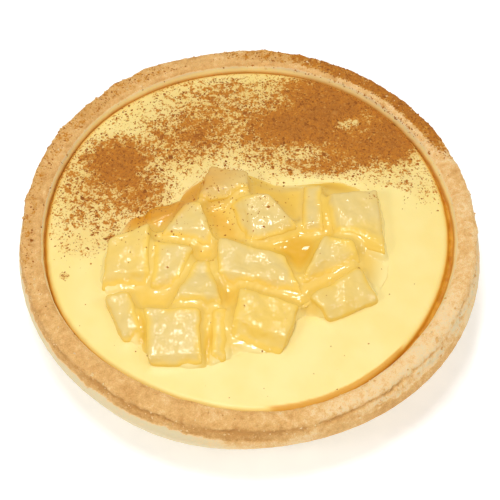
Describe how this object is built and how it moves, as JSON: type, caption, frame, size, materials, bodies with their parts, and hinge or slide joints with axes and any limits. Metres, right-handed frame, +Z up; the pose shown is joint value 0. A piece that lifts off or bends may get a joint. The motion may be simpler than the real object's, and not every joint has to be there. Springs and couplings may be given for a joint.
{
  "type": "apple custard pie",
  "caption": "Round single-serving custard pie: a low shortcrust shell with a rounded lip, filled to just under the rim, with diced cooked fruit in a jelly pool on top.",
  "frame": {"origin": "middle of the pie's foot, on the surface it stands on", "axes": "+Z up through the filling, +Y away from the viewer of the picture, +X to the viewer's right"},
  "size_m": [0.1201, 0.1204, 0.0287],
  "materials": {
    "pastry": "matte",
    "set_custard": "satin",
    "fruit_jelly": "gloss",
    "cooked_fruit": "gloss"
  },
  "bodies": {
    "root": {"crust": "pastry", "custard": "set_custard", "jelly": "fruit_jelly", "fruit_back": "cooked_fruit", "fruit_middle_back": "cooked_fruit", "fruit_left_back": "cooked_fruit", "fruit_left": "cooked_fruit", "fruit_left_middle": "cooked_fruit", "fruit_wedge": "cooked_fruit", "fruit_middle": "cooked_fruit", "fruit_left_front": "cooked_fruit", "fruit_front": "cooked_fruit", "fruit_front_sliver": "cooked_fruit", "fruit_front_right": "cooked_fruit", "fruit_right_back_sliver": "cooked_fruit", "fruit_right_back": "cooked_fruit", "fruit_right_middle": "cooked_fruit", "fruit_right": "cooked_fruit", "fruit_left_back_sunk": "cooked_fruit"}
  },
  "joints": []
}
